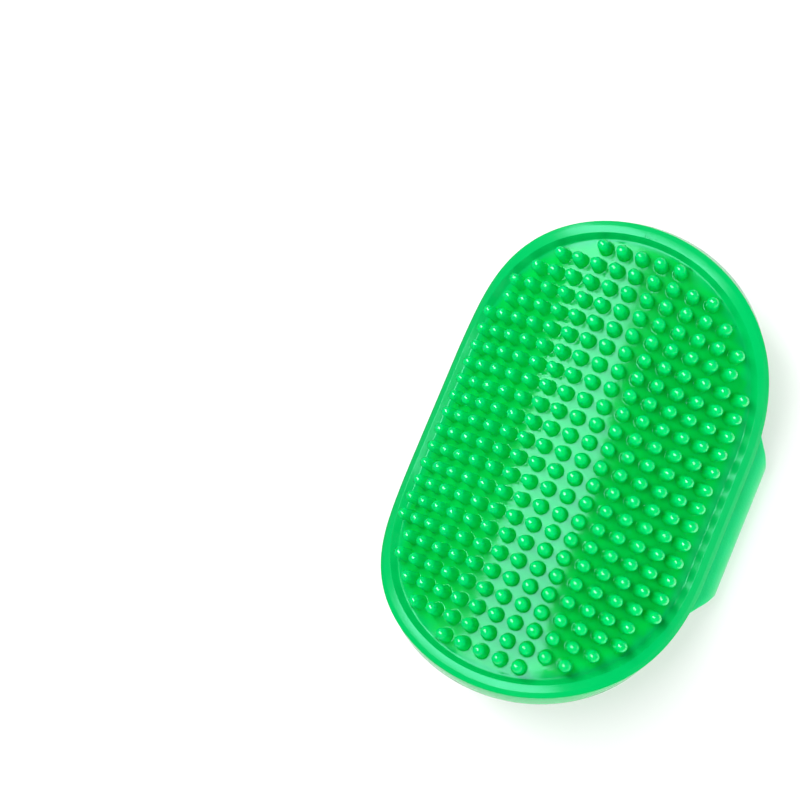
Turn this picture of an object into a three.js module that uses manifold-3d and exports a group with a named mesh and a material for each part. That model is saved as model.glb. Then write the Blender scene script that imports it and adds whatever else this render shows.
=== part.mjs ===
// A rubber curry brush: a bowed stadium-shaped pad with a raised rim and a field of tapered studs,
// worn on the hand by a two-piece strap that runs across its back. Each half of the strap leaves a long
// side of the pad, folds under and reaches the middle, where pegs on one tongue sit in holes in the other.
// Millimetres, +Z up, +Y along the brush. The studs point up and the strap's flat underside is at z = 0.

import * as THREE from 'three';
import { mergeVertices } from 'three/addons/utils/BufferGeometryUtils.js';
import Module from 'manifold-3d';

const wasm = await Module();
wasm.setup();

// Pad outline, measured along the bowed surface: a stadium, every point at one radius from a straight spine.
const SPINE_HALF = 17.5;
const BACK_RADIUS = 50;
const RIM_OUTER_RADIUS = 48.2;
const RIM_INNER_RADIUS = 44.8;
const FLOOR_RADIUS = 43.7;

// Pad heights above the stud floor.
const FLOOR_THICKNESS = 4;
const RIM_HEIGHT = 2;

// The strap pulls the long sides down: the bow is tightest across the strap and eases towards the ends.
const BOW_RADIUS = 63;
const BOW_EASE = 0.79;

// Studs stand on a lattice, wherever the whole stud fits inside the rim.
const STUD_PITCH_ACROSS = 5.4;
const STUD_PITCH_ALONG = 5.15;
const STUD_FIELD_RADIUS = 40.7;
const STUD_HEIGHT = 5.2;
const STUD_FOOT_RADIUS = 1.9;
const STUD_TIP_RADIUS = 1.3;
const STUD_FACETS = 5;

// Strap: thickness and plan.
const STRAP_THICKNESS = 2.4;
const STRAP_HALF_WIDTH = 19;
const ROOT_END = 52.5;
const FLARE_END = 56.6;
const FLARE_SLOPE = 1.1;
const FOLD_RUN_IN = 12;
const FOLD_EASE_RADIUS = 60;
const OUTER_TIP = -22;
const INNER_TIP = 1.2;
const TIP_HALF_WIDTH = 15;
const TIP_ROUNDING = 9;

// Fastening: pegs on the inner tongue, holes in the outer one.
const HOLE_POSITIONS = [-15, -5, 5, 15];
const PEG_POSITIONS = [-15, -5];
const HOLE_RADIUS = 3.1;
const PEG_RADIUS = 2.3;
const PEG_TIP_CHAMFER = 0.5;

// Clearance between pieces that meet.
const GAP = 0.3;

// Levels of the strap's middle surfaces and of the pad above them.
const OUTER_LEVEL = STRAP_THICKNESS / 2;
const INNER_LEVEL = OUTER_LEVEL + STRAP_THICKNESS + GAP;
const FLOOR_Z = 34.5;
const HALF_LENGTH = SPINE_HALF + BACK_RADIUS;

// Fineness of the faceted surfaces. The facets of the bow meet between the studs, not under them.
const BOW_STEPS_ACROSS = 19;
const BOW_STEPS_ALONG = 9;
const ROWS_PER_STEP = 3;
const OUTLINE_SEGMENTS = 20;
const FOLD_SEGMENTS = 10;
const EASE_SEGMENTS = 5;
const PEG_FACETS = 16;

const rubber = { color: 0x02c75c, roughness: 0.28, metalness: 0 };

// ---------------------------------------------------------------- solids and meshes

function toSolid(geometry) {
  const bare = geometry.index ? geometry.toNonIndexed() : geometry.clone();
  bare.deleteAttribute('normal');
  bare.deleteAttribute('uv');
  const merged = mergeVertices(bare, 1e-4);
  const vertProperties = new Float32Array(merged.attributes.position.array);
  const triVerts = new Uint32Array(merged.index.array);
  return new wasm.Manifold(new wasm.Mesh({ numProp: 3, vertProperties, triVerts }));
}

function toNamedMesh(solid, name, look) {
  const { vertProperties, triVerts } = solid.getMesh();
  const geometry = new THREE.BufferGeometry();
  geometry.setAttribute('position', new THREE.BufferAttribute(new Float32Array(vertProperties), 3));
  geometry.setIndex(new THREE.BufferAttribute(new Uint32Array(triVerts), 1));
  geometry.computeVertexNormals();
  const mesh = new THREE.Mesh(geometry, new THREE.MeshStandardMaterial(look));
  mesh.name = name;
  return mesh;
}

function mapVertices(geometry, place) {
  const position = geometry.attributes.position;
  for (let i = 0; i < position.count; i += 1) {
    const point = place(position.getX(i), position.getY(i), position.getZ(i));
    position.setXYZ(i, point.x, point.y, point.z);
  }
  return geometry;
}

// ---------------------------------------------------------------- the bow

function bowCurvature(y) {
  const past = Math.max(0, Math.abs(y) - STRAP_HALF_WIDTH) / (HALF_LENGTH - STRAP_HALF_WIDTH);
  return (1 - BOW_EASE * past * past) / BOW_RADIUS;
}

// A point of the flat pattern, across, along and above the stud floor, at its place on the bowed pad.
function bowPoint(across, along, height) {
  const radius = 1 / bowCurvature(along);
  const angle = across / radius;
  const reach = radius + height;
  return new THREE.Vector3(reach * Math.sin(angle), along, reach * Math.cos(angle) - radius + FLOOR_Z);
}

// A slab of the whole pattern between two heights, in enough steps to follow the bow.
function bowedSlab(low, high) {
  const width = BOW_STEPS_ACROSS * STUD_PITCH_ACROSS;
  const length = BOW_STEPS_ALONG * ROWS_PER_STEP * STUD_PITCH_ALONG;
  const box = new THREE.BoxGeometry(width, length, high - low, BOW_STEPS_ACROSS, BOW_STEPS_ALONG, 1);
  box.translate(0, 0, (low + high) / 2);
  return toSolid(mapVertices(box, bowPoint));
}

function stadiumShape(radius) {
  const shape = new THREE.Shape();
  shape.absarc(0, SPINE_HALF, radius, 0, Math.PI, false);
  shape.absarc(0, -SPINE_HALF, radius, Math.PI, 2 * Math.PI, false);
  shape.closePath();
  return shape;
}

// A bowed column on the stadium outline, drafted from one radius to another between two heights. Its ends
// are far enough off that their flat caps miss the bowed pad.
function bowedColumn(radiusAtLow, low, radiusAtHigh, high) {
  const levels = [-18, low - 1, high + 1, 60];
  const draft = (radiusAtHigh - radiusAtLow) / (high - low);
  const column = new THREE.ExtrudeGeometry(stadiumShape(radiusAtLow), {
    depth: levels.length - 1,
    steps: levels.length - 1,
    curveSegments: OUTLINE_SEGMENTS,
    bevelEnabled: false,
  });
  return toSolid(mapVertices(column, (across, along, step) => {
    const height = levels[Math.round(step)];
    const drafted = Math.max(levels[1], Math.min(levels[2], height));
    const spine = Math.max(-SPINE_HALF, Math.min(SPINE_HALF, along));
    const scale = 1 + (draft * (drafted - low)) / radiusAtLow;
    return bowPoint(across * scale, spine + (along - spine) * scale, height);
  }));
}

// ---------------------------------------------------------------- pad

// A stud before its tip is levelled: a cone on the bowed floor, its foot sunk a little into it.
function studCone(across, along) {
  const sunk = 0.5;
  const apex = (STUD_HEIGHT * STUD_FOOT_RADIUS) / (STUD_FOOT_RADIUS - STUD_TIP_RADIUS);
  const footRadius = STUD_FOOT_RADIUS * (1 + sunk / apex);
  const geometry = new THREE.ConeGeometry(footRadius, apex + sunk, STUD_FACETS);
  geometry.translate(0, (apex - sunk) / 2, 0);
  geometry.rotateX(Math.PI / 2);
  geometry.rotateY(across * bowCurvature(along));
  const base = bowPoint(across, along, 0);
  geometry.translate(base.x, base.y, base.z);
  return toSolid(geometry);
}

function studField() {
  const cones = [];
  const rows = Math.floor(HALF_LENGTH / STUD_PITCH_ALONG);
  const columns = Math.floor(BACK_RADIUS / STUD_PITCH_ACROSS);
  for (let row = -rows; row <= rows; row += 1) {
    for (let column = -columns; column <= columns; column += 1) {
      const across = column * STUD_PITCH_ACROSS;
      const along = row * STUD_PITCH_ALONG;
      const pastSpine = Math.max(0, Math.abs(along) - SPINE_HALF);
      if (Math.hypot(across, pastSpine) <= STUD_FIELD_RADIUS) {
        cones.push(studCone(across, along));
      }
    }
  }
  return wasm.Manifold.union(cones);
}

// Half the strap's width at a path length from the crown of the bow: it flares towards the pad.
function strapHalfWidth(path) {
  return STRAP_HALF_WIDTH + FLARE_SLOPE * Math.max(0, FLARE_END - path);
}

// The root of a strap half: it runs on from inside the pad's side wall and narrows towards the fold.
function strapRoot(side) {
  const inside = BACK_RADIUS - 3;
  const wide = strapHalfWidth(inside);
  const narrow = strapHalfWidth(ROOT_END);
  const shape = new THREE.Shape();
  shape.moveTo(side * inside, -wide);
  shape.lineTo(side * ROOT_END, -narrow);
  shape.lineTo(side * ROOT_END, narrow);
  shape.lineTo(side * inside, wide);
  shape.closePath();
  const geometry = new THREE.ExtrudeGeometry(shape, {
    depth: STRAP_THICKNESS,
    bevelEnabled: false,
  });
  geometry.translate(0, 0, -FLOOR_THICKNESS);
  return toSolid(mapVertices(geometry, bowPoint));
}

function facePad() {
  const body = bowedSlab(-FLOOR_THICKNESS, RIM_HEIGHT)
    .intersect(bowedColumn(BACK_RADIUS, -FLOOR_THICKNESS, RIM_OUTER_RADIUS, RIM_HEIGHT));
  const pocket = bowedSlab(0, 3 * STUD_HEIGHT)
    .intersect(bowedColumn(FLOOR_RADIUS, 0, RIM_INNER_RADIUS, RIM_HEIGHT));
  const solid = body
    .subtract(pocket)
    .add(strapRoot(-1))
    .add(strapRoot(1))
    .add(studField())
    .intersect(bowedSlab(-2 * FLOOR_THICKNESS, STUD_HEIGHT));
  return toNamedMesh(solid, 'face_pad', rubber);
}

// ---------------------------------------------------------------- strap

// The strap's middle line in section, for the half on the +X side: where its root ends, the fold, and the
// shallow curve that brings it level. Headings are in radians below the +X axis.
function strapLine(level) {
  const middleRadius = BOW_RADIUS - FLOOR_THICKNESS + STRAP_THICKNESS / 2;
  const startHeading = ROOT_END / BOW_RADIUS;
  const start = new THREE.Vector2(
    middleRadius * Math.sin(startHeading),
    middleRadius * Math.cos(startHeading) - BOW_RADIUS + FLOOR_Z,
  );
  const runIn = THREE.MathUtils.degToRad(FOLD_RUN_IN);
  const endHeading = Math.PI - runIn;
  const easeDrop = FOLD_EASE_RADIUS * (1 - Math.cos(runIn));
  const foldDrop = start.y - level - easeDrop;
  const foldRadius = foldDrop / (Math.cos(startHeading) + Math.cos(runIn));
  const foldCentre = new THREE.Vector2(
    start.x - foldRadius * Math.sin(startHeading),
    start.y - foldRadius * Math.cos(startHeading),
  );
  const easeCentre = new THREE.Vector2(
    foldCentre.x + (foldRadius - FOLD_EASE_RADIUS) * Math.sin(endHeading),
    level + FOLD_EASE_RADIUS,
  );
  return { startHeading, endHeading, foldRadius, foldCentre, easeCentre };
}

// A point at a signed distance outside an arc of the strap's line, at one heading.
function onArc(centre, radius, heading) {
  return new THREE.Vector2(
    centre.x + radius * Math.sin(heading),
    centre.y + radius * Math.cos(heading),
  );
}

function arcPoints(centre, radius, fromHeading, toHeading, segments) {
  const points = [];
  for (let i = 0; i <= segments; i += 1) {
    points.push(onArc(centre, radius, fromHeading + ((toHeading - fromHeading) * i) / segments));
  }
  return points;
}

// A section in x and z, drawn for the +X half, extruded along Y over the strap's width.
function extrudedSection(points, side) {
  const ordered = side > 0 ? points : points.map((p) => new THREE.Vector2(-p.x, p.y)).reverse();
  const geometry = new THREE.ExtrudeGeometry(new THREE.Shape(ordered), {
    depth: 2 * STRAP_HALF_WIDTH,
    bevelEnabled: false,
  });
  geometry.rotateX(Math.PI / 2);
  geometry.translate(0, STRAP_HALF_WIDTH, 0);
  return geometry;
}

function strapFold(side, level, name) {
  const line = strapLine(level);
  const half = STRAP_THICKNESS / 2;
  const trim = GAP / line.foldRadius;
  const from = line.startHeading + trim;
  const to = line.endHeading - trim;
  const outer = arcPoints(line.foldCentre, line.foldRadius + half, from, to, FOLD_SEGMENTS);
  const inner = arcPoints(line.foldCentre, line.foldRadius - half, from, to, FOLD_SEGMENTS);
  const section = [...outer, ...inner.reverse()];
  const flared = mapVertices(extrudedSection(section, side), (x, y, z) => {
    const heading = Math.atan2(side * x - line.foldCentre.x, z - line.foldCentre.y);
    const path = ROOT_END + line.foldRadius * (heading - line.startHeading);
    return new THREE.Vector3(x, Math.sign(y) * strapHalfWidth(path), z);
  });
  return toNamedMesh(toSolid(flared), name, rubber);
}

// The plan of a tongue on the +X side: full width at the fold, narrowing to a rounded tip.
function tonguePlan(tip) {
  const wide = BACK_RADIUS;
  const shoulder = tip + TIP_ROUNDING;
  const shape = new THREE.Shape();
  shape.moveTo(wide, -STRAP_HALF_WIDTH);
  shape.lineTo(wide, STRAP_HALF_WIDTH);
  shape.lineTo(wide - TIP_ROUNDING, STRAP_HALF_WIDTH);
  shape.lineTo(shoulder, TIP_HALF_WIDTH);
  shape.quadraticCurveTo(tip, TIP_HALF_WIDTH, tip, TIP_HALF_WIDTH - TIP_ROUNDING);
  shape.lineTo(tip, TIP_ROUNDING - TIP_HALF_WIDTH);
  shape.quadraticCurveTo(tip, -TIP_HALF_WIDTH, shoulder, -TIP_HALF_WIDTH);
  shape.lineTo(wide - TIP_ROUNDING, -STRAP_HALF_WIDTH);
  shape.closePath();
  return shape;
}

function tongue(side, level, tip) {
  const line = strapLine(level);
  const half = STRAP_THICKNESS / 2;
  const { easeCentre, endHeading } = line;
  const outer = arcPoints(easeCentre, FOLD_EASE_RADIUS + half, endHeading, Math.PI, EASE_SEGMENTS);
  const inner = arcPoints(easeCentre, FOLD_EASE_RADIUS - half, endHeading, Math.PI, EASE_SEGMENTS);
  const tipEnd = [new THREE.Vector2(tip - 1, level - half), new THREE.Vector2(tip - 1, level + half)];
  const section = [...outer, ...tipEnd, ...inner.reverse()];
  const strip = toSolid(extrudedSection(section, side));
  const plan = new THREE.ExtrudeGeometry(tonguePlan(tip), {
    depth: BACK_RADIUS,
    curveSegments: 6,
    bevelEnabled: false,
  });
  plan.translate(0, 0, -BACK_RADIUS / 2);
  if (side < 0) {
    plan.rotateZ(Math.PI);
  }
  return strip.intersect(toSolid(plan));
}

function roundPost(radius, low, high, x) {
  const post = new THREE.CylinderGeometry(radius, radius, high - low, PEG_FACETS);
  post.rotateX(Math.PI / 2);
  post.translate(x, 0, (low + high) / 2);
  return toSolid(post);
}

function peg(x) {
  const profile = [
    new THREE.Vector2(0, GAP),
    new THREE.Vector2(PEG_RADIUS - PEG_TIP_CHAMFER, GAP),
    new THREE.Vector2(PEG_RADIUS, GAP + PEG_TIP_CHAMFER),
    new THREE.Vector2(PEG_RADIUS, INNER_LEVEL),
    new THREE.Vector2(0, INNER_LEVEL),
  ];
  const geometry = new THREE.LatheGeometry(profile, PEG_FACETS);
  geometry.rotateX(Math.PI / 2);
  geometry.translate(x, 0, 0);
  return toSolid(geometry);
}

function outerTongue() {
  let solid = tongue(1, OUTER_LEVEL, OUTER_TIP);
  for (const x of HOLE_POSITIONS) {
    solid = solid.subtract(roundPost(HOLE_RADIUS, -STRAP_THICKNESS, 2 * STRAP_THICKNESS, x));
  }
  return toNamedMesh(solid, 'strap_tongue_outer', rubber);
}

function innerTongue() {
  let solid = tongue(-1, INNER_LEVEL, -INNER_TIP);
  for (const x of PEG_POSITIONS) {
    solid = solid.add(peg(x));
  }
  return toNamedMesh(solid, 'strap_tongue_inner', rubber);
}

// ---------------------------------------------------------------- assembly

const brush = new THREE.Group();
brush.add(facePad());
brush.add(strapFold(1, OUTER_LEVEL, 'strap_fold_outer'));
brush.add(strapFold(-1, INNER_LEVEL, 'strap_fold_inner'));
brush.add(outerTongue());
brush.add(innerTongue());

export default brush;
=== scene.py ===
"""The looks of a rubber curry brush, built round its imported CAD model.

The brush is a bowed, stadium-shaped pad with a raised rim and a field of blunt studs. A strap in two halves
runs across its back: pegs on the inner half sit in holes in the outer one. The pad's skin and the two strap
skins are laid out flat, in millimetres, and then bent onto the shape that the CAD model has. Lengths in this
file are millimetres, and become metres when a mesh is made.
"""

import math

import bmesh
import bpy
from mathutils import Matrix, Vector
from mathutils.geometry import delaunay_2d_cdt


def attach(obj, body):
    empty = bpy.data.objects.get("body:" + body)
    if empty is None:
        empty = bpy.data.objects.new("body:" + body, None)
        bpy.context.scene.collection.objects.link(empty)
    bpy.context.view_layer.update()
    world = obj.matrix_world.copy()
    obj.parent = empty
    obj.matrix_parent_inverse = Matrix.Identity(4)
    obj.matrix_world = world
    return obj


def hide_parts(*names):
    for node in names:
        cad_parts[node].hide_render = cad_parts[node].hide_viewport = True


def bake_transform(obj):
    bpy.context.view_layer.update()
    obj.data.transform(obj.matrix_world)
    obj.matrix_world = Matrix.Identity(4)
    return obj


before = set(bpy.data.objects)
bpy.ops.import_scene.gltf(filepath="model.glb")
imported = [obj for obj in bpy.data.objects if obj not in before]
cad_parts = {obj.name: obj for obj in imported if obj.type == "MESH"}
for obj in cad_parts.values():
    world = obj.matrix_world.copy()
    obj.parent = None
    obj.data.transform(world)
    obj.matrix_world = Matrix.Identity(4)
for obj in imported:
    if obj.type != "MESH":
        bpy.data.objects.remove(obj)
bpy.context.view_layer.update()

MM = 0.001

# Pad outline, measured along the bowed surface: every point is at one radius from a straight spine.
SPINE_HALF = 17.5
BACK_RADIUS = 50.0
RIM_OUTER_RADIUS = 48.2
RIM_CREST_RADIUS = 46.8
RIM_INNER_RADIUS = 44.8
FLOOR_RADIUS = 43.7
FLOOR_EDGE_RADIUS = FLOOR_RADIUS - 0.7
BACK_EDGE_RADIUS = BACK_RADIUS - 2.4
HALF_LENGTH = SPINE_HALF + BACK_RADIUS
FLOOR_THICKNESS = 4.0
RIM_HEIGHT = 2.0
RIM_FALL = 0.25
RIM_LOOK_MARGIN = 0.05
FLOOR_Z = 34.5

# The strap pulls the long sides down: the bow is tightest across the strap and eases towards the ends.
BOW_RADIUS = 63.0
BOW_EASE = 0.79

# Studs, the height at which their painted glow of light through thin rubber is full, and the heights at
# which they count as polished.
PITCH_ACROSS = 5.4
PITCH_ALONG = 5.15
STUD_FIELD_RADIUS = 40.7
STUD_HEIGHT = 5.2
STUD_FOOT_RADIUS = 1.9
STUD_TIP_RADIUS = 1.6
STUD_FOOT_FILLET = 0.35
STUD_FLOOR_RING = 0.12
STUD_SIDES = 24
PAINTED_GLOW_FULL_HEIGHT = 3.0
POLISH_FROM_HEIGHT = 4.4
POLISH_FULL_HEIGHT = 4.7

# Strap.
STRAP_THICKNESS = 2.4
STRAP_HALF_WIDTH = 19.0
ROOT_START = 47.0
ROOT_END = 52.5
FLARE_END = 56.6
FLARE_SLOPE = 1.1
FOLD_RUN_IN = math.radians(12)
FOLD_EASE_RADIUS = 60.0
OUTER_TIP = -22.0
INNER_TIP = -1.2
TIP_HALF_WIDTH = 15.0
TIP_ROUNDING = 9.0
STRAP_EDGE_ROUND = 0.55
FLARE_EASE = 1.5
MITRE_LIMIT = 0.5
HOLE_POSITIONS = (-15.0, -5.0, 5.0, 15.0)
PEG_POSITIONS = (15.0, 5.0)
HOLE_RADIUS = 3.1
PEG_RADIUS = 2.3
PEG_FOOT_RADIUS = PEG_RADIUS + 1.0
PEG_BASE_FILLET = 0.3
PEG_TIP_ROUND = 0.5
PEG_TIP_FLAT = 0.4
GAP = 0.3
OUTER_LEVEL = STRAP_THICKNESS / 2
INNER_LEVEL = OUTER_LEVEL + STRAP_THICKNESS + GAP

# Fineness: numbers of steps round a curve, and spacings in millimetres.
ARC_STEPS = 72
SIDE_STEPS = 16
BACK_RINGS = 19
FOOT_FILLET_STEPS = 3
DOME_STEPS = 7
HOLE_SIDES = 32
EDGE_STEPS = 4
FLARE_STEPS = 5
TIP_STEPS = 10
FOLD_SPACING = 0.6
OUTLINE_SPACING = 1.5
ROOT_SPACING = 2.0
TONGUE_SPACING = 1.8
STRAP_FILLER_ROWS = 17
STRAP_FILLER_START = ROOT_START + 1.0
STRAP_FILLER_CLEARANCE = 0.7
FLOOR_FILLER_CLEARANCE = 0.8

# Points are merged where they agree to one part in this many of a millimetre.
MERGE = 1000.0

# Delaunay triangulation: what it returns, and the distance below which two points are one.
WHOLE_HULL = 0
SAME_POINT = 1e-5


# ---------------------------------------------------------------- meshes


class Skin:
    """A mesh gathered from faces whose corners are flat-pattern points; equal points become one vertex."""

    def __init__(self, place):
        self.place = place
        self.index = {}
        self.points = []
        self.flat = []
        self.faces = []

    def vertex(self, point):
        """The index of the vertex for a flat-pattern point, which is made if it isn't there yet."""
        key = tuple(round(c * MERGE) for c in point)
        if key not in self.index:
            self.index[key] = len(self.points)
            self.points.append(self.place(*point) * MM)
            self.flat.append(point)
        return self.index[key]

    def face(self, *corners):
        """A face through the corners, left out where merging leaves fewer than three."""
        ring = []
        for corner in corners:
            at = self.vertex(corner)
            if at not in ring:
                ring.append(at)
        if len(ring) > 2:
            self.faces.append(ring)

    def strip(self, ring, next_ring):
        """Quads between two closed rings of equally many points."""
        for i in range(len(ring)):
            j = (i + 1) % len(ring)
            self.face(ring[i], ring[j], next_ring[j], next_ring[i])

    def fan(self, ring, pole):
        """Triangles from a closed ring to one point."""
        for i in range(len(ring)):
            self.face(ring[i], ring[(i + 1) % len(ring)], pole)

    def build(self, name, **attributes):
        """Makes the object. Each attribute is a function of a flat point, stored at every vertex."""
        mesh = bpy.data.meshes.new(name)
        mesh.from_pydata(self.points, [], self.faces)
        for key, value in attributes.items():
            attribute = mesh.attributes.new(key, "FLOAT", "POINT")
            attribute.data.foreach_set("value", [value(*point) for point in self.flat])
        mesh.validate()
        mesh.update()
        for polygon in mesh.polygons:
            polygon.use_smooth = True
        piece = bpy.data.objects.new(name, mesh)
        bpy.context.scene.collection.objects.link(piece)
        return piece


def filleted(corners, steps=4):
    """A polyline through (radius, height, rounding) corners, with each corner's rounding as a short arc."""
    points = []
    for i, (x, y, rounding) in enumerate(corners):
        here = Vector((x, y))
        if rounding <= 0 or i in (0, len(corners) - 1):
            points.append(here)
            continue
        back = (Vector(corners[i - 1][:2]) - here).normalized()
        ahead = (Vector(corners[i + 1][:2]) - here).normalized()
        half = back.angle(ahead) / 2
        centre = here + (back + ahead).normalized() * (rounding / math.sin(half))
        start = here + back * (rounding / math.tan(half)) - centre
        end = here + ahead * (rounding / math.tan(half)) - centre
        turn = start.angle_signed(end)
        for step in range(steps + 1):
            angle = -turn * step / steps
            points.append(centre + Matrix.Rotation(angle, 2) @ start)
    return [(p.x, p.y) for p in points]


def triangulated(skin, loops, fillers, keep, lift):
    """Adds the triangles between closed loops of plane points, using the fillers, where keep(x, y) holds."""
    points = []
    edges = []
    for loop in loops:
        first = len(points)
        points += loop
        edges += [(first + i, first + (i + 1) % len(loop)) for i in range(len(loop))]
    points += fillers
    made = delaunay_2d_cdt([Vector(p) for p in points], edges, [], WHOLE_HULL, SAME_POINT)
    coordinates, _, triangles, origins = made[:4]
    exact = [
        points[origin[0]] if origin else tuple(at)
        for at, origin in zip(coordinates, origins)
    ]
    for triangle in triangles:
        corners = [exact[i] for i in triangle]
        x = sum(c[0] for c in corners) / 3
        y = sum(c[1] for c in corners) / 3
        if keep(x, y):
            skin.face(*(lift(*c) for c in corners))


def inside(loop, x, y):
    """True if the point lies inside the closed loop of plane points."""
    found = False
    for i, (x1, y1) in enumerate(loop):
        x2, y2 = loop[i - 1]
        if (y1 > y) != (y2 > y) and x < (x2 - x1) * (y - y1) / (y2 - y1) + x1:
            found = not found
    return found


# ---------------------------------------------------------------- pad


def bow_curvature(along):
    """The curvature across the pad: constant over the strap's width, then easing to the ends."""
    past = max(0.0, abs(along) - STRAP_HALF_WIDTH) / (HALF_LENGTH - STRAP_HALF_WIDTH)
    return (1 - BOW_EASE * past * past) / BOW_RADIUS


def bow_point(across, along, height):
    """A flat-pattern point at its place on the bowed pad."""
    radius = 1 / bow_curvature(along)
    angle = across / radius
    reach = radius + height
    return Vector(
        (reach * math.sin(angle), along, reach * math.cos(angle) - radius + FLOOR_Z)
    )


def stadium(radius):
    """The outline at one radius from the spine, anticlockwise, with the same steps at every radius."""
    ring = []
    for end in (1, -1):
        for step in range(ARC_STEPS + 1):
            angle = math.pi * step / ARC_STEPS
            ring.append(
                (
                    end * radius * math.cos(angle),
                    end * (SPINE_HALF + radius * math.sin(angle)),
                )
            )
        for step in range(1, SIDE_STEPS):
            ring.append(
                (-end * radius, end * SPINE_HALF * (1 - 2 * step / SIDE_STEPS))
            )
    return ring


def from_spine(across, along):
    """The flat distance from the straight spine to a point."""
    return math.hypot(across, max(0.0, abs(along) - SPINE_HALF))


def stud_places():
    """Lattice places, as (column, row), where a whole stud fits inside the rim."""
    rows = int(HALF_LENGTH / PITCH_ALONG)
    columns = int(BACK_RADIUS / PITCH_ACROSS)
    return [
        (column, row)
        for row in range(-rows, rows + 1)
        for column in range(-columns, columns + 1)
        if from_spine(column * PITCH_ACROSS, row * PITCH_ALONG) <= STUD_FIELD_RADIUS
    ]


def stud_profile():
    """(radius, height) of a stud from the floor just outside its foot's fillet to its domed tip."""
    dome_height = STUD_HEIGHT - STUD_TIP_RADIUS
    slant = math.hypot(STUD_FOOT_RADIUS, dome_height)
    taper = math.acos(STUD_TIP_RADIUS / slant) - math.atan2(
        dome_height, STUD_FOOT_RADIUS
    )
    side = Vector((math.cos(taper), math.sin(taper)))
    reach = STUD_FOOT_RADIUS * side.x + STUD_FOOT_FILLET * (1 - side.y)
    fillet_radius = reach / side.x
    profile = [(fillet_radius + STUD_FLOOR_RING, 0.0)]
    for step in range(FOOT_FILLET_STEPS + 1):
        turn = (math.pi / 2 - taper) * step / FOOT_FILLET_STEPS
        profile.append(
            (
                fillet_radius - STUD_FOOT_FILLET * math.sin(turn),
                STUD_FOOT_FILLET * (1 - math.cos(turn)),
            )
        )
    for step in range(DOME_STEPS):
        turn = taper + (math.pi / 2 - taper) * step / DOME_STEPS
        profile.append(
            (
                STUD_TIP_RADIUS * math.cos(turn),
                dome_height + STUD_TIP_RADIUS * math.sin(turn),
            )
        )
    return profile


def cell_border(column, row):
    """The rectangle round one stud, at the places where rays at even angles meet a square."""
    border = []
    for step in range(STUD_SIDES):
        angle = 2 * math.pi * step / STUD_SIDES
        x, y = math.cos(angle), math.sin(angle)
        far = max(abs(x), abs(y))
        border.append(
            (
                (column + x / far / 2) * PITCH_ACROSS,
                (row + y / far / 2) * PITCH_ALONG,
            )
        )
    return border


def add_stud(skin, column, row, profile):
    """One stud, with the floor of its cell."""
    rings = [[(x, y, 0.0) for x, y in cell_border(column, row)]]
    centre = (column * PITCH_ACROSS, row * PITCH_ALONG)
    for radius, height in profile:
        ring = []
        for step in range(STUD_SIDES):
            angle = 2 * math.pi * step / STUD_SIDES
            ring.append(
                (
                    centre[0] + radius * math.cos(angle),
                    centre[1] + radius * math.sin(angle),
                    height,
                )
            )
        rings.append(ring)
    for ring, next_ring in zip(rings, rings[1:]):
        skin.strip(ring, next_ring)
    skin.fan(rings[-1], (*centre, STUD_HEIGHT))


def cells_border(places):
    """The closed, stepped line round all the stud cells, anticlockwise."""
    taken = set(places)
    half_side = STUD_SIDES // 8
    following = {}
    for column, row in places:
        cell = [
            tuple(round(c * MERGE) for c in point) for point in cell_border(column, row)
        ]
        for side, (dc, dr) in enumerate(((1, 0), (0, 1), (-1, 0), (0, -1))):
            if (column + dc, row + dr) in taken:
                continue
            corner = (2 * side - 1) * half_side
            for step in range(corner, corner + 2 * half_side):
                following[cell[step % STUD_SIDES]] = cell[(step + 1) % STUD_SIDES]
    first = next(iter(following))
    ring = [first]
    while following[ring[-1]] != first:
        ring.append(following[ring[-1]])
    return [(x / MERGE, y / MERGE) for x, y in ring]


def add_floor_margin(skin, places):
    """The floor between the stepped border of the stud cells and the foot of the rim."""
    taken = set(places)
    clearance = FLOOR_FILLER_CLEARANCE

    def outside_cells(x, y):
        return (round(x / PITCH_ACROSS), round(y / PITCH_ALONG)) not in taken

    def clear_of_cells(x, y):
        return all(
            outside_cells(x + dx, y + dy)
            for dx in (-clearance, clearance)
            for dy in (-clearance, clearance)
        )

    half_across = PITCH_ACROSS / 2
    half_along = PITCH_ALONG / 2
    columns = int(BACK_RADIUS / half_across)
    rows = int(HALF_LENGTH / half_along)
    fillers = []
    for column in range(-columns, columns + 1):
        for row in range(-rows, rows + 1):
            x, y = column * half_across, row * half_along
            if clear_of_cells(x, y) and from_spine(x, y) < FLOOR_EDGE_RADIUS - clearance:
                fillers.append((x, y))
    triangulated(
        skin,
        [stadium(FLOOR_EDGE_RADIUS), cells_border(places)],
        fillers,
        outside_cells,
        lambda x, y: (x, y, 0.0),
    )


RIM_CORNERS = (
    # radius from the spine, height above the floor, rounding
    (FLOOR_EDGE_RADIUS, 0.0, 0.0),
    (FLOOR_RADIUS, 0.0, 0.6),
    (RIM_INNER_RADIUS, RIM_HEIGHT, 0.25),
    (RIM_CREST_RADIUS, RIM_HEIGHT, 0.8),
    (RIM_OUTER_RADIUS, RIM_HEIGHT - RIM_FALL, 0.3),
    (BACK_RADIUS, -FLOOR_THICKNESS, 0.5),
    (BACK_EDGE_RADIUS, -FLOOR_THICKNESS, 0.0),
)


def add_rim_and_back(skin):
    """The rim, the side wall and the plain back, as rings of one shape from the floor's edge inwards."""
    profile = filleted(RIM_CORNERS)
    rings = [
        [(x, y, height) for x, y in stadium(radius)] for radius, height in profile
    ]
    last = profile[-1][0]
    for step in range(1, BACK_RINGS + 1):
        radius = last * (1 - step / BACK_RINGS)
        rings.append([(x, y, -FLOOR_THICKNESS) for x, y in stadium(radius)])
    for ring, next_ring in zip(rings, rings[1:]):
        skin.strip(next_ring, ring)


def clamped(value):
    return max(0.0, min(1.0, value))


def stud_thinness(across, along, height):
    """A painted glow, as of light shining through thin rubber, which tints the studs bluer: 0 in the solid
    floor, 1 towards the tips of the studs.
    """
    return clamped(height / PAINTED_GLOW_FULL_HEIGHT)


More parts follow.
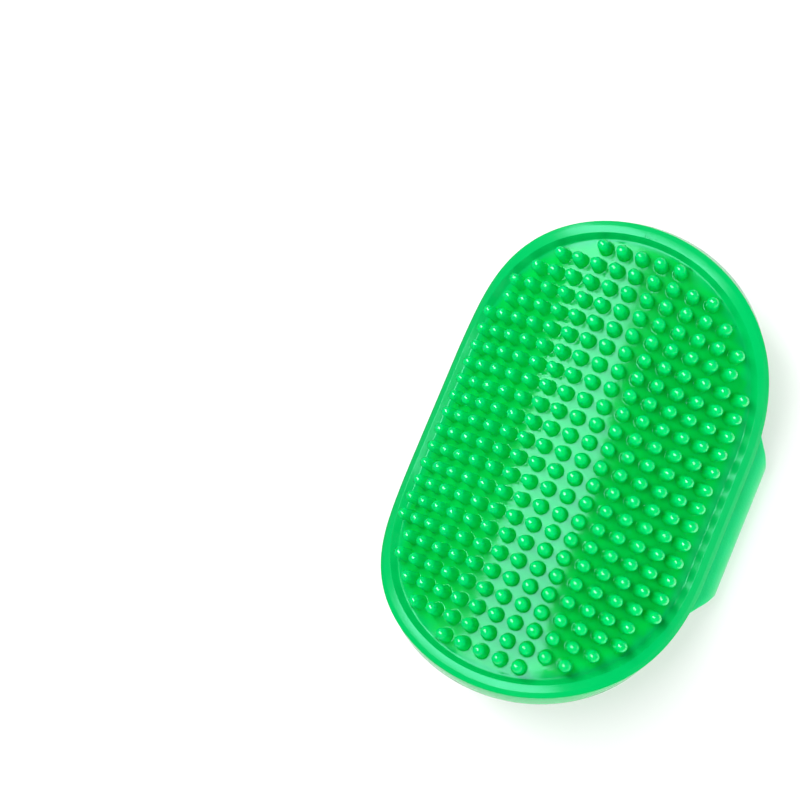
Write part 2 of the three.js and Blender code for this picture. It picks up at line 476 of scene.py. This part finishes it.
def on_rim(across, along, height):
    """1 from the floor's edge outwards, 0 inside it: the gloss is duller there, no light goes in, and the
    rubber is painted darker there as shade.
    """
    return 1.0 if from_spine(across, along) > FLOOR_EDGE_RADIUS - RIM_LOOK_MARGIN else 0.0


def tip_polish(across, along, height):
    """1 on the domed tips, which are polished, and 0 elsewhere."""
    reach = POLISH_FULL_HEIGHT - POLISH_FROM_HEIGHT
    return clamped((height - POLISH_FROM_HEIGHT) / reach)


TRIM_MARK_SINK = 0.2
TRIM_MARKS = (
    # across, distance from the spine's end, length, width, height
    (-1.6, 45.4, 0.9, 0.30, 0.30),
    (-0.9, 45.3, 0.7, 0.25, 0.40),
    (-0.3, 45.2, 0.8, 0.35, 0.30),
    (0.5, 45.0, 0.5, 0.30, 0.35),
    (1.5, 45.3, 0.4, 0.60, 0.30),
)


def add_trim_marks(skin):
    """Small ragged slivers on the rim, like those left by trimming. Their bases are sunk into it."""
    for across, out, length, width, height in TRIM_MARKS:
        along = SPINE_HALF + out
        low = RIM_HEIGHT - TRIM_MARK_SINK
        base = [
            (across - width / 2, along - length / 2, low),
            (across + width / 2, along - length / 2, low),
            (across + width / 2, along + length / 2, low),
            (across - width / 2, along + length / 2, low),
        ]
        top = (across + width / 4, along - length / 4, RIM_HEIGHT + height)
        skin.fan(base, top)
        skin.face(*reversed(base))


def pad_skin():
    """The whole pad: studs, floor, rim, side wall, back and trim marks."""
    skin = Skin(bow_point)
    places = stud_places()
    profile = stud_profile()
    for column, row in places:
        add_stud(skin, column, row, profile)
    add_floor_margin(skin, places)
    add_rim_and_back(skin)
    add_trim_marks(skin)
    return skin.build("pad_skin", thinness=stud_thinness, polish=tip_polish, rim=on_rim)


# ---------------------------------------------------------------- strap


class StrapLine:
    """The strap's middle line in section, drawn for the +X half: root, fold, shallow curve, level tongue."""

    def __init__(self, side, level, tip):
        self.side, self.level, self.tip = side, level, tip
        self.root_radius = BOW_RADIUS - FLOOR_THICKNESS + STRAP_THICKNESS / 2
        self.start_heading = ROOT_END / BOW_RADIUS
        self.start = self.root_point(self.start_heading)
        self.end_heading = math.pi - FOLD_RUN_IN
        ease_drop = FOLD_EASE_RADIUS * (1 - math.cos(FOLD_RUN_IN))
        fold_drop = self.start.y - level - ease_drop
        self.fold_radius = fold_drop / (
            math.cos(self.start_heading) + math.cos(FOLD_RUN_IN)
        )
        self.fold_centre = (
            self.start - self.direction(self.start_heading) * self.fold_radius
        )
        reach = (self.fold_radius - FOLD_EASE_RADIUS) * math.sin(self.end_heading)
        self.ease_centre = Vector(
            (self.fold_centre.x + reach, level + FOLD_EASE_RADIUS)
        )
        self.fold_end_s = ROOT_END + self.fold_radius * (
            self.end_heading - self.start_heading
        )
        self.ease_end_s = self.fold_end_s + FOLD_EASE_RADIUS * FOLD_RUN_IN
        self.tip_s = self.ease_end_s + self.ease_centre.x - tip

    @staticmethod
    def direction(heading):
        """The unit direction in section at an angle from straight up, towards +X."""
        return Vector((math.sin(heading), math.cos(heading)))

    def root_point(self, heading):
        """The point of the root's middle line, which follows the pad's back, at a heading."""
        return self.direction(heading) * self.root_radius - Vector(
            (0, BOW_RADIUS - FLOOR_Z)
        )

    def section(self, s):
        """The point of the middle line at path length s, and the direction away from the hand there."""
        if s <= ROOT_END:
            heading = s / BOW_RADIUS
            return self.root_point(heading), self.direction(heading)
        if s <= self.fold_end_s:
            heading = self.start_heading + (s - ROOT_END) / self.fold_radius
            out = self.direction(heading)
            return self.fold_centre + out * self.fold_radius, out
        if s <= self.ease_end_s:
            heading = self.end_heading + (s - self.fold_end_s) / FOLD_EASE_RADIUS
            out = self.direction(heading)
            return self.ease_centre + out * FOLD_EASE_RADIUS, out
        return Vector(
            (self.ease_centre.x - (s - self.ease_end_s), self.level)
        ), Vector((0, -1))

    def place(self, s, across, height):
        """A flat-pattern point at its place on the closed strap, on this half's own side."""
        point, out = self.section(s)
        at = point + out * height
        return Vector((self.side * at.x, self.side * across, at.y))

    def s_of_x(self, x):
        """The path length at which the tongue's level part is at x, for the +X half."""
        return self.ease_end_s + self.ease_centre.x - x


def bezier(a, b, c, steps):
    """Points of a quadratic curve from a towards b to c, without its first point."""
    points = []
    for step in range(1, steps + 1):
        t = step / steps
        points.append(
            tuple(
                (1 - t) ** 2 * p + 2 * t * (1 - t) * q + t * t * r
                for p, q, r in zip(a, b, c)
            )
        )
    return points


def straight(a, b, spacing):
    """Points from a to b at about the spacing, without the first point."""
    steps = max(1, round(math.dist(a, b) / spacing))
    return [
        tuple(p + (q - p) * step / steps for p, q in zip(a, b))
        for step in range(1, steps + 1)
    ]


def strap_half_width(s):
    """Half the strap's width near the pad, towards which it flares."""
    return STRAP_HALF_WIDTH + FLARE_SLOPE * max(0.0, FLARE_END - s)


def strap_outline(line):
    """The strap half's flat plan, anticlockwise, from inside the pad's wall to its rounded tip."""
    shoulder = line.tip_s - TIP_ROUNDING
    tip_end = (line.tip_s, TIP_HALF_WIDTH - TIP_ROUNDING)
    flare_start = FLARE_END - FLARE_EASE
    flare_corner = (FLARE_END, STRAP_HALF_WIDTH)
    flare_stop = (FLARE_END + FLARE_EASE, STRAP_HALF_WIDTH)
    fold_end = (line.fold_end_s, STRAP_HALF_WIDTH)
    upper = [(ROOT_START, strap_half_width(ROOT_START))]
    upper += straight(
        upper[-1], (flare_start, strap_half_width(flare_start)), FOLD_SPACING
    )
    upper += bezier(upper[-1], flare_corner, flare_stop, FLARE_STEPS)
    upper += straight(upper[-1], fold_end, FOLD_SPACING)
    upper += straight(upper[-1], (shoulder, TIP_HALF_WIDTH), OUTLINE_SPACING)
    upper += bezier(upper[-1], (line.tip_s, TIP_HALF_WIDTH), tip_end, TIP_STEPS)
    lower = [(s, -across) for s, across in upper]
    tip_side = straight(tip_end, (line.tip_s, -tip_end[1]), OUTLINE_SPACING)
    root_side = straight(lower[0], upper[0], ROOT_SPACING)
    return lower + tip_side[-2::-1] + upper[::-1] + root_side[-2::-1]


def inset(loop, distance):
    """The closed loop moved inwards, that is to the left of its direction, by the distance."""
    moved = []
    for i, (x, y) in enumerate(loop):
        before = Vector((x - loop[i - 1][0], y - loop[i - 1][1])).normalized()
        after_point = loop[(i + 1) % len(loop)]
        after = Vector((after_point[0] - x, after_point[1] - y)).normalized()
        middle = (before + after).normalized()
        stretch = 1 / max(MITRE_LIMIT, middle.dot(after))
        moved.append(
            (x - middle.y * distance * stretch, y + middle.x * distance * stretch)
        )
    return moved


def circle(centre, radius):
    """A clockwise circle, so that its inset lies outside it."""
    ring = []
    for step in range(HOLE_SIDES):
        angle = -2 * math.pi * step / HOLE_SIDES
        ring.append(
            (centre[0] + radius * math.cos(angle), centre[1] + radius * math.sin(angle))
        )
    return ring


def rounded_edge():
    """(inset, height) round the strap's edge from the top face to the bottom face."""
    half = STRAP_THICKNESS / 2
    flat = half - STRAP_EDGE_ROUND
    upper = []
    for step in range(EDGE_STEPS + 1):
        turn = math.pi / 2 * step / EDGE_STEPS
        upper.append(
            (
                STRAP_EDGE_ROUND * (1 - math.sin(turn)),
                flat + STRAP_EDGE_ROUND * math.cos(turn),
            )
        )
    return upper + [(depth, -height) for depth, height in reversed(upper)]


def add_walls(skin, loop):
    """The rounded edge wall along one closed loop."""
    rings = [
        [(x, y, height) for x, y in inset(loop, depth)]
        for depth, height in rounded_edge()
    ]
    for ring, next_ring in zip(rings, rings[1:]):
        skin.strip(next_ring, ring)


def add_peg(skin, centre):
    """A peg standing on the strap's outer face: base fillet, side and rounded tip."""
    base = STRAP_THICKNESS / 2
    tip = INNER_LEVEL - GAP
    corners = (
        (PEG_FOOT_RADIUS, base, 0.0),
        (PEG_RADIUS, base, PEG_BASE_FILLET),
        (PEG_RADIUS, tip, PEG_TIP_ROUND),
        (PEG_TIP_FLAT, tip, 0.0),
    )
    rings = []
    for radius, height in filleted(corners):
        rings.append([(x, y, height) for x, y in circle(centre, radius)])
    for ring, next_ring in zip(rings, rings[1:]):
        skin.strip(next_ring, ring)
    skin.fan(list(reversed(rings[-1])), (*centre, tip))


def strap_fillers(line, keep):
    """Points inside a strap face, close together in the fold, with some clearance from every edge."""
    clearance = STRAP_FILLER_CLEARANCE
    fillers = []
    s = STRAP_FILLER_START
    while s < line.tip_s:
        for row in range(-STRAP_FILLER_ROWS, STRAP_FILLER_ROWS + 1):
            across = row * strap_half_width(ROOT_START) / STRAP_FILLER_ROWS
            near = [
                (s + dx, across + dy)
                for dx in (-clearance, clearance)
                for dy in (-clearance, clearance)
            ]
            if all(keep(*point) for point in near):
                fillers.append((s, across))
        s += FOLD_SPACING if s < line.fold_end_s else TONGUE_SPACING
    return fillers


def add_strap_face(skin, line, loops, height):
    """The flat face inside the first loop and outside the others, at one height."""
    outer, gaps = loops[0], loops[1:]

    def keep(x, y):
        return inside(outer, x, y) and not any(inside(gap, x, y) for gap in gaps)

    fillers = strap_fillers(line, keep)
    triangulated(skin, loops, fillers, keep, lambda x, y: (x, y, height))


def strap_skin(name, side, level, tip, holes=(), pegs=()):
    """One strap half from its root to its tip. Holes and pegs are given by their x on the level part."""
    line = StrapLine(side, level, tip)
    skin = Skin(line.place)
    hole_loops = [circle((line.s_of_x(x), 0.0), HOLE_RADIUS) for x in holes]
    peg_centres = [(line.s_of_x(x), 0.0) for x in pegs]
    edges = [strap_outline(line), *hole_loops]
    for loop in edges:
        add_walls(skin, loop)
    for centre in peg_centres:
        add_peg(skin, centre)
    half = STRAP_THICKNESS / 2
    face_loops = [inset(loop, STRAP_EDGE_ROUND) for loop in edges]
    peg_loops = [circle(centre, PEG_FOOT_RADIUS) for centre in peg_centres]
    add_strap_face(skin, line, face_loops + peg_loops, half)
    add_strap_face(skin, line, face_loops, -half)
    return skin.build(name), line


def make_faces_agree(piece):
    """Turns every face of a closed mesh outwards."""
    work = bmesh.new()
    work.from_mesh(piece.data)
    bmesh.ops.recalc_face_normals(work, faces=work.faces)
    work.to_mesh(piece.data)
    work.free()


# ---------------------------------------------------------------- materials


# Sockets of the Mix node: the factor, then the two inputs and the result, for numbers and for colours.
MIX_FACTOR = 0
MIX_NUMBERS = (2, 3)
MIX_NUMBER_RESULT = 0
MIX_COLOURS = (6, 7)
MIX_COLOUR_RESULT = 2


class Nodes:
    """A small helper that adds and links shader nodes."""

    def __init__(self, name):
        self.material = bpy.data.materials.new(name)
        self.material.use_nodes = True
        self.tree = self.material.node_tree
        self.shader = self.tree.nodes["Principled BSDF"]

    def add(self, kind, **settings):
        node = self.tree.nodes.new(kind)
        for key, value in settings.items():
            setattr(node, key, value)
        return node

    def link(self, output, socket):
        self.tree.links.new(output, socket)

    def noise(self, scale, detail=3.0, roughness=0.55):
        """Noise that moves with the object; the scale is in features per metre."""
        coordinates = self.add("ShaderNodeTexCoord")
        node = self.add("ShaderNodeTexNoise")
        node.inputs["Scale"].default_value = scale
        node.inputs["Detail"].default_value = detail
        node.inputs["Roughness"].default_value = roughness
        self.link(coordinates.outputs["Object"], node.inputs["Vector"])
        return node.outputs["Fac"]

    def attribute(self, name):
        return self.add("ShaderNodeAttribute", attribute_name=name).outputs["Fac"]

    def mixed(self, factor, first, second):
        """A blend of two numbers, where all three are other nodes' outputs."""
        node = self.add("ShaderNodeMix", data_type="FLOAT")
        self.link(factor, node.inputs[MIX_FACTOR])
        for index, output in zip(MIX_NUMBERS, (first, second)):
            self.link(output, node.inputs[index])
        return node.outputs[MIX_NUMBER_RESULT]

    def ramp(self, source, low, high, start=0.35, end=0.65):
        """The source's range from start to end, where most noise lies, stretched to low and high."""
        node = self.add("ShaderNodeMapRange")
        node.inputs["From Min"].default_value = start
        node.inputs["From Max"].default_value = end
        node.inputs["To Min"].default_value = low
        node.inputs["To Max"].default_value = high
        self.link(source, node.inputs["Value"])
        return node.outputs["Result"]


def colour_mix(nodes, factor, first, second):
    """A blend of two colours; either may be a plain colour or another node's output."""
    node = nodes.add("ShaderNodeMix", data_type="RGBA")
    nodes.link(factor, node.inputs[MIX_FACTOR])
    for index, value in zip(MIX_COLOURS, (first, second)):
        if isinstance(value, tuple):
            node.inputs[index].default_value = value
        else:
            nodes.link(value, node.inputs[index])
    return node.outputs[MIX_COLOUR_RESULT]


def bump_chain(nodes, layers):
    """Bump from several (height output, strength, distance in metres) layers."""
    normal = None
    for height, strength, distance in layers:
        bump = nodes.add("ShaderNodeBump")
        bump.inputs["Strength"].default_value = strength
        bump.inputs["Distance"].default_value = distance
        nodes.link(height, bump.inputs["Height"])
        if normal is not None:
            nodes.link(normal, bump.inputs["Normal"])
        normal = bump.outputs["Normal"]
    nodes.link(normal, nodes.shader.inputs["Normal"])


PAD_SOLID = (0.0, 0.62, 0.085, 1.0)
PAD_SOLID_DEEP = (0.0, 0.56, 0.070, 1.0)
# Painted glow: the stud tips are painted bluer, as if light were shining through thin rubber.
PAD_PAINTED_GLOW = (0.0, 0.62, 0.16, 1.0)
# Painted shade: the rim is the same rubber, painted darker to offset the lamps that fall on it.
RIM_GREEN_PAINTED_DARKER = (0.0, 0.50, 0.11, 1.0)
STRAP_GREEN = (0.0, 0.66, 0.20, 1.0)
STRAP_GREEN_DEEP = (0.0, 0.60, 0.17, 1.0)
GLOSS_TINT = (0.40, 0.90, 1.0, 1.0)

# How much light goes in, how far each colour of it spreads, and the scale of that in metres.
PAD_SUBSURFACE = 0.85
PAD_SUBSURFACE_SCALE = 0.004
STRAP_SUBSURFACE = 0.5
STRAP_SUBSURFACE_SCALE = 0.002
SUBSURFACE_RADIUS = (0.1, 1.0, 0.45)

# Roughness of the gloss, from the smoothest to the dullest places.
FLOOR_ROUGHNESS = (0.08, 0.13)
RIM_ROUGHNESS = (0.18, 0.25)
STRAP_ROUGHNESS = (0.30, 0.45)

# The polish on the stud tips.
PAD_IOR = 1.5
POLISH_ROUGHNESS = 0.045
POLISH_IOR = 1.6

# The strap's dusty bloom.
BLOOM_WEIGHT = 0.2
BLOOM_ROUGHNESS = 0.4

# Noise scales, in features per metre.
PAD_CLOUDS = 45.0
PAD_SMEARS = 160.0
STRAP_CLOUDS = 60.0
STRAP_GRAIN = 1400.0


def rubber(nodes, subsurface_scale):
    """What both rubbers share: light goes in and comes out green, and gloss is slightly blue."""
    shader = nodes.shader
    shader.inputs["Specular Tint"].default_value = GLOSS_TINT
    shader.inputs["Subsurface Radius"].default_value = SUBSURFACE_RADIUS
    shader.inputs["Subsurface Scale"].default_value = subsurface_scale


def pad_rubber():
    """Glossy rubber: polished at the stud tips, which carry a painted glow of light through thin rubber,
    solid in the floor, and duller on the rim, where it is painted darker as shade.
    """
    nodes = Nodes("pad_rubber")
    shader = nodes.shader
    rubber(nodes, PAD_SUBSURFACE_SCALE)
    cloudy = nodes.ramp(nodes.noise(PAD_CLOUDS), 0.0, 1.0)
    solid = colour_mix(nodes, cloudy, PAD_SOLID, PAD_SOLID_DEEP)
    # Painted glow: bluer towards the stud tips, as if light were shining through thin rubber.
    with_painted_glow = colour_mix(nodes, nodes.attribute("thinness"), solid, PAD_PAINTED_GLOW)
    # Painted shade: the rim is painted darker than the floor.
    colour = colour_mix(nodes, nodes.attribute("rim"), with_painted_glow, RIM_GREEN_PAINTED_DARKER)
    nodes.link(colour, shader.inputs["Base Color"])
    smears = nodes.noise(PAD_SMEARS, detail=4.0)
    roughness = nodes.mixed(
        nodes.attribute("rim"),
        nodes.ramp(smears, *FLOOR_ROUGHNESS),
        nodes.ramp(smears, *RIM_ROUGHNESS),
    )
    nodes.link(roughness, shader.inputs["Roughness"])
    nodes.link(
        nodes.ramp(nodes.attribute("rim"), PAD_SUBSURFACE, 0.0, 0.0, 1.0),
        shader.inputs["Subsurface Weight"],
    )
    shader.inputs["IOR"].default_value = PAD_IOR
    nodes.link(nodes.attribute("polish"), shader.inputs["Coat Weight"])
    shader.inputs["Coat Roughness"].default_value = POLISH_ROUGHNESS
    shader.inputs["Coat IOR"].default_value = POLISH_IOR
    waviness = (nodes.noise(70.0, detail=2.0), 0.25, 0.0002)
    fine_grain = (nodes.noise(2600.0, detail=2.0), 0.06, 0.00002)
    bump_chain(nodes, [waviness, fine_grain])
    return nodes.material


def strap_rubber():
    """Duller, slightly dusty rubber with a fine grain."""
    nodes = Nodes("strap_rubber")
    shader = nodes.shader
    rubber(nodes, STRAP_SUBSURFACE_SCALE)
    shader.inputs["Subsurface Weight"].default_value = STRAP_SUBSURFACE
    cloudy = nodes.ramp(nodes.noise(STRAP_CLOUDS), 0.0, 1.0)
    colour = colour_mix(nodes, cloudy, STRAP_GREEN, STRAP_GREEN_DEEP)
    nodes.link(colour, shader.inputs["Base Color"])
    roughness = nodes.ramp(nodes.noise(STRAP_GRAIN), *STRAP_ROUGHNESS)
    nodes.link(roughness, shader.inputs["Roughness"])
    shader.inputs["Sheen Weight"].default_value = BLOOM_WEIGHT
    shader.inputs["Sheen Roughness"].default_value = BLOOM_ROUGHNESS
    waviness = (nodes.noise(300.0), 0.25, 0.0002)
    grain = (nodes.noise(1800.0, detail=2.0), 0.35, 0.0001)
    bump_chain(nodes, [waviness, grain])
    return nodes.material


PAPER_LIGHT = (0.62, 0.62, 0.62, 1.0)
PAPER_DARK = (0.60, 0.60, 0.605, 1.0)
PAPER_GLOW = (1.0, 1.0, 1.0, 1.0)
PAPER_GLOW_STRENGTH = 0.34
PAPER_ROUGHNESS = 0.9
PAPER_CLOUDS = 6.0


def ground_paper():
    """Matt white paper that glows a little, as if lit from below."""
    nodes = Nodes("ground_paper")
    shader = nodes.shader
    tone = nodes.ramp(nodes.noise(PAPER_CLOUDS), 0.0, 1.0)
    colour = colour_mix(nodes, tone, PAPER_LIGHT, PAPER_DARK)
    nodes.link(colour, shader.inputs["Base Color"])
    shader.inputs["Emission Color"].default_value = PAPER_GLOW
    shader.inputs["Emission Strength"].default_value = PAPER_GLOW_STRENGTH
    shader.inputs["Roughness"].default_value = PAPER_ROUGHNESS
    fibres = (nodes.noise(900.0), 0.1, 0.0001)
    bump_chain(nodes, [fibres])
    return nodes.material


# ---------------------------------------------------------------- scene


def dress(piece, material):
    """Gives a piece its material and slot, and outward faces."""
    piece.data.materials.clear()
    piece.data.materials.append(material)
    make_faces_agree(piece)


def finish_strap(piece, line, nodes_replaced, material):
    """Dresses one strap half, bakes its placement into its mesh and hides the CAD nodes that it replaces."""
    dress(piece, material)
    start, end = line.section(ROOT_END)[0], line.section(line.fold_end_s)[0]
    start = Vector((line.side * start.x, start.y))
    end = Vector((line.side * end.x, end.y))
    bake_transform(piece)
    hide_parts(*nodes_replaced)


def make_brush():
    """The three pieces, each in the place of the CAD nodes that it hides; the pad is put on its body."""
    pad = pad_skin()
    dress(pad, pad_rubber())
    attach(pad, "pad")
    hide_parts("face_pad")
    strap_look = strap_rubber()
    outer, line = strap_skin(
        "strap_outer", 1, OUTER_LEVEL, OUTER_TIP, holes=HOLE_POSITIONS
    )
    finish_strap(
        outer,
        line,
        ("strap_fold_outer", "strap_tongue_outer"),
        strap_look,
    )
    inner, line = strap_skin(
        "strap_inner", -1, INNER_LEVEL, INNER_TIP, pegs=PEG_POSITIONS
    )
    finish_strap(
        inner,
        line,
        ("strap_fold_inner", "strap_tongue_inner"),
        strap_look,
    )


GROUND_HALF_SIZE = 3.0


def make_ground():
    mesh = bpy.data.meshes.new("ground")
    half = GROUND_HALF_SIZE
    mesh.from_pydata(
        [(-half, -half, 0), (half, -half, 0), (half, half, 0), (-half, half, 0)],
        [],
        [(0, 1, 2, 3)],
    )
    ground = bpy.data.objects.new("ground", mesh)
    bpy.context.scene.collection.objects.link(ground)
    mesh.materials.append(ground_paper())


def softbox(name, place, aim, size, watts, turn, mirrored):
    """A rectangular soft light that faces a point, its long side turned about its aim.

    A light that isn't mirrored is a fill: it brightens the rubber but leaves no reflection in it.
    """
    data = bpy.data.lights.new(name, "AREA")
    data.shape = "RECTANGLE"
    data.size, data.size_y = size
    data.energy = watts
    light = bpy.data.objects.new(name, data)
    direction = (Vector(aim) - Vector(place)).normalized()
    light.rotation_mode = "QUATERNION"
    light.rotation_quaternion = direction.to_track_quat("-Z", "Y") @ Matrix.Rotation(
        turn, 4, "Z"
    ).to_quaternion()
    light.location = place
    light.visible_camera = False
    light.visible_glossy = mirrored
    bpy.context.scene.collection.objects.link(light)


STUDIO_LIGHTS = (
    # In metres: name, place, aim, (long, short) size, turn in degrees about the aim, radiance, mirrored
    ("strip", (-0.314, 0.131, 0.634), (-0.314, 0.131, 0.0), (0.85, 0.270), -31.0, 5.6, True),
    ("key_left", (-0.55, 0.45, 0.55), (0.0, 0.0, 0.03), (0.5, 0.5), 0.0, 1.6, False),
    ("key_back", (0.05, 0.75, 0.60), (0.0, 0.0, 0.03), (0.5, 0.4), 0.0, 1.2, False),
    ("fill_front", (0.35, -0.75, 0.55), (0.0, 0.0, 0.03), (0.9, 0.5), 0.0, 2.4, False),
    ("fill_right", (0.70, -0.10, 0.20), (0.0, 0.0, 0.02), (0.6, 0.4), 0.0, 2.5, False),
)
SKY_BRIGHTNESS = 0.45
HORIZON_BRIGHTNESS = 0.9
# The height above the horizon, as the sine of its angle, at which each of them is reached.
HORIZON_UP_TO = 0.05
SKY_FROM = 0.35


def make_lights():
    for name, place, aim, size, turn, radiance, mirrored in STUDIO_LIGHTS:
        watts = radiance * math.pi * size[0] * size[1]
        softbox(name, place, aim, size, watts, math.radians(turn), mirrored)


def make_world():
    """A pale horizon under a dim ceiling."""
    world = bpy.data.worlds.new("studio")
    world.use_nodes = True
    tree = world.node_tree
    background = tree.nodes["Background"]
    coordinates = tree.nodes.new("ShaderNodeTexCoord")
    split = tree.nodes.new("ShaderNodeSeparateXYZ")
    fade = tree.nodes.new("ShaderNodeMapRange")
    fade.inputs["From Min"].default_value = HORIZON_UP_TO
    fade.inputs["From Max"].default_value = SKY_FROM
    fade.inputs["To Min"].default_value = HORIZON_BRIGHTNESS
    fade.inputs["To Max"].default_value = SKY_BRIGHTNESS
    tree.links.new(coordinates.outputs["Generated"], split.inputs["Vector"])
    tree.links.new(split.outputs["Z"], fade.inputs["Value"])
    tree.links.new(fade.outputs["Result"], background.inputs["Strength"])
    bpy.context.scene.world = world


# The dark card's three edges in section, as (x, z) in metres, and half its length.
FLAG_EDGES = ((-0.052, 0.001), (-0.17, 0.001), (-0.22, 0.22))
FLAG_HALF_LENGTH = 0.25
FLAG_BLACK = (0.02, 0.02, 0.02, 1.0)


def make_flag():
    """A dark card that stands and lies beside the brush, out of the camera's sight.

    It keeps the pale table and surroundings from being mirrored in the brush's left side.
    """
    mesh = bpy.data.meshes.new("flag")
    sides = (-FLAG_HALF_LENGTH, FLAG_HALF_LENGTH)
    points = [(x, y, z) for x, z in FLAG_EDGES for y in sides]
    mesh.from_pydata(points, [], [(0, 1, 3, 2), (2, 3, 5, 4)])
    flag = bpy.data.objects.new("flag", mesh)
    bpy.context.scene.collection.objects.link(flag)
    nodes = Nodes("flag_cloth")
    nodes.shader.inputs["Base Color"].default_value = FLAG_BLACK
    nodes.shader.inputs["Roughness"].default_value = 1.0
    mesh.materials.append(nodes.material)
    for ray in ("camera", "diffuse", "shadow", "transmission"):
        setattr(flag, "visible_" + ray, False)


# The camera's place in metres, two of its directions, and its lens and sensor width in millimetres.
CAMERA_PLACE = (0.10242, -0.03922, 0.43587)
CAMERA_RIGHT = (0.8730, 0.3893, -0.2937)
CAMERA_AIM = (-0.3517, 0.0855, -0.9322)
CAMERA_LENS = 69.61
SENSOR_WIDTH = 36.0
EXPOSURE = 0.46


def make_camera():
    data = bpy.data.cameras.new("camera")
    data.sensor_width = SENSOR_WIDTH
    data.lens = CAMERA_LENS
    camera = bpy.data.objects.new("camera", data)
    back = -Vector(CAMERA_AIM).normalized()
    up = back.cross(Vector(CAMERA_RIGHT)).normalized()
    right = up.cross(back)
    axes = Matrix((right, up, back)).transposed()
    camera.matrix_world = Matrix.Translation(CAMERA_PLACE) @ axes.to_4x4()
    bpy.context.scene.collection.objects.link(camera)
    bpy.context.scene.camera = camera


make_brush()
make_ground()
make_lights()
make_world()
make_flag()
make_camera()
bpy.context.scene.view_settings.view_transform = "Standard"
bpy.context.scene.view_settings.exposure = EXPOSURE
